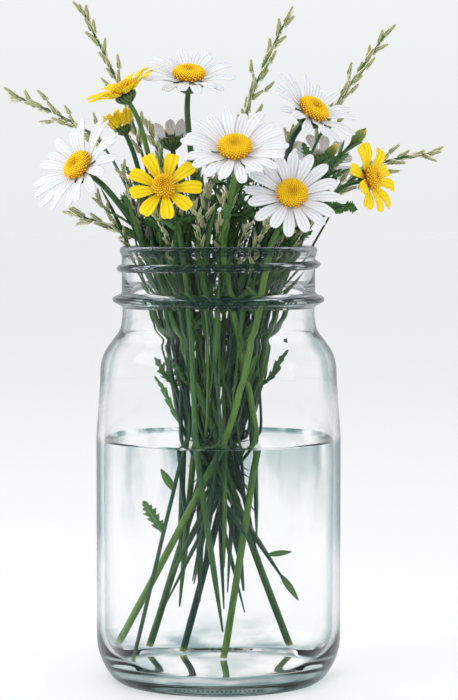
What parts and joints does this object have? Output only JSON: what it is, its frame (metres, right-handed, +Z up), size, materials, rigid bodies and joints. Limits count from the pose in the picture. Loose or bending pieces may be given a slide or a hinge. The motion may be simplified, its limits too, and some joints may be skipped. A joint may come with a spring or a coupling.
{
  "type": "wildflowers in a jar",
  "caption": "Loose bunch of daisies, small yellow flowers, grasses and leafy stems standing in a wide-mouthed clear glass jar of water",
  "frame": {"origin": "on the jar's axis, on the plane that its foot ring stands on", "axes": "+Z up along the jar's axis; the front of the bunch faces -Y; +X to the right seen from the front"},
  "size_m": [0.1813, 0.1321, 0.2736],
  "materials": {
    "glass": "clear",
    "water": "clear water",
    "white_petal": "satin",
    "yellow_petal": "satin",
    "daisy_disc": "matte",
    "orange_disc": "matte",
    "stem": "satin",
    "leaf": "satin",
    "grass": "matte"
  },
  "bodies": {
    "root": {"back_daisy_disc": "daisy_disc", "back_daisy_petals": "white_petal", "back_daisy_stem": "stem", "bud_stem_stem": "leaf", "centre_daisy_disc": "daisy_disc", "centre_daisy_petals": "white_petal", "centre_daisy_stem": "stem", "closed_yellow_disc": "orange_disc", "closed_yellow_petals": "yellow_petal", "closed_yellow_stem": "stem", "front_daisy_disc": "daisy_disc", "front_daisy_petals": "white_petal", "front_daisy_stem": "stem", "front_grass_stem": "grass", "front_yellow_disc": "orange_disc", "front_yellow_petals": "yellow_petal", "front_yellow_stem": "stem", "inner_left_grass_stem": "grass", "inner_right_grass_stem": "grass", "jar": "glass", "left_daisy_disc": "daisy_disc", "left_daisy_petals": "white_petal", "left_daisy_stem": "stem", "left_leafy_stem": "leaf", "low_left_grass_stem": "grass", "low_right_grass_stem": "grass", "middle_leafy_stem": "leaf", "rear_daisy_disc": "daisy_disc", "rear_daisy_petals": "white_petal", "rear_daisy_stem": "stem", "rear_leafy_stem": "leaf", "right_daisy_disc": "daisy_disc", "right_daisy_petals": "white_petal", "right_daisy_stem": "stem", "right_leafy_stem": "leaf", "right_yellow_disc": "orange_disc", "right_yellow_petals": "yellow_petal", "right_yellow_stem": "stem", "side_grass_stem": "grass", "small_buds_stem": "leaf", "tall_left_grass_stem": "grass", "tall_middle_grass_stem": "grass", "tall_right_grass_stem": "grass", "top_daisy_disc": "daisy_disc", "top_daisy_petals": "white_petal", "top_daisy_stem": "stem", "upper_yellow_disc": "orange_disc", "upper_yellow_petals": "yellow_petal", "upper_yellow_stem": "stem", "water": "water"}
  },
  "joints": []
}
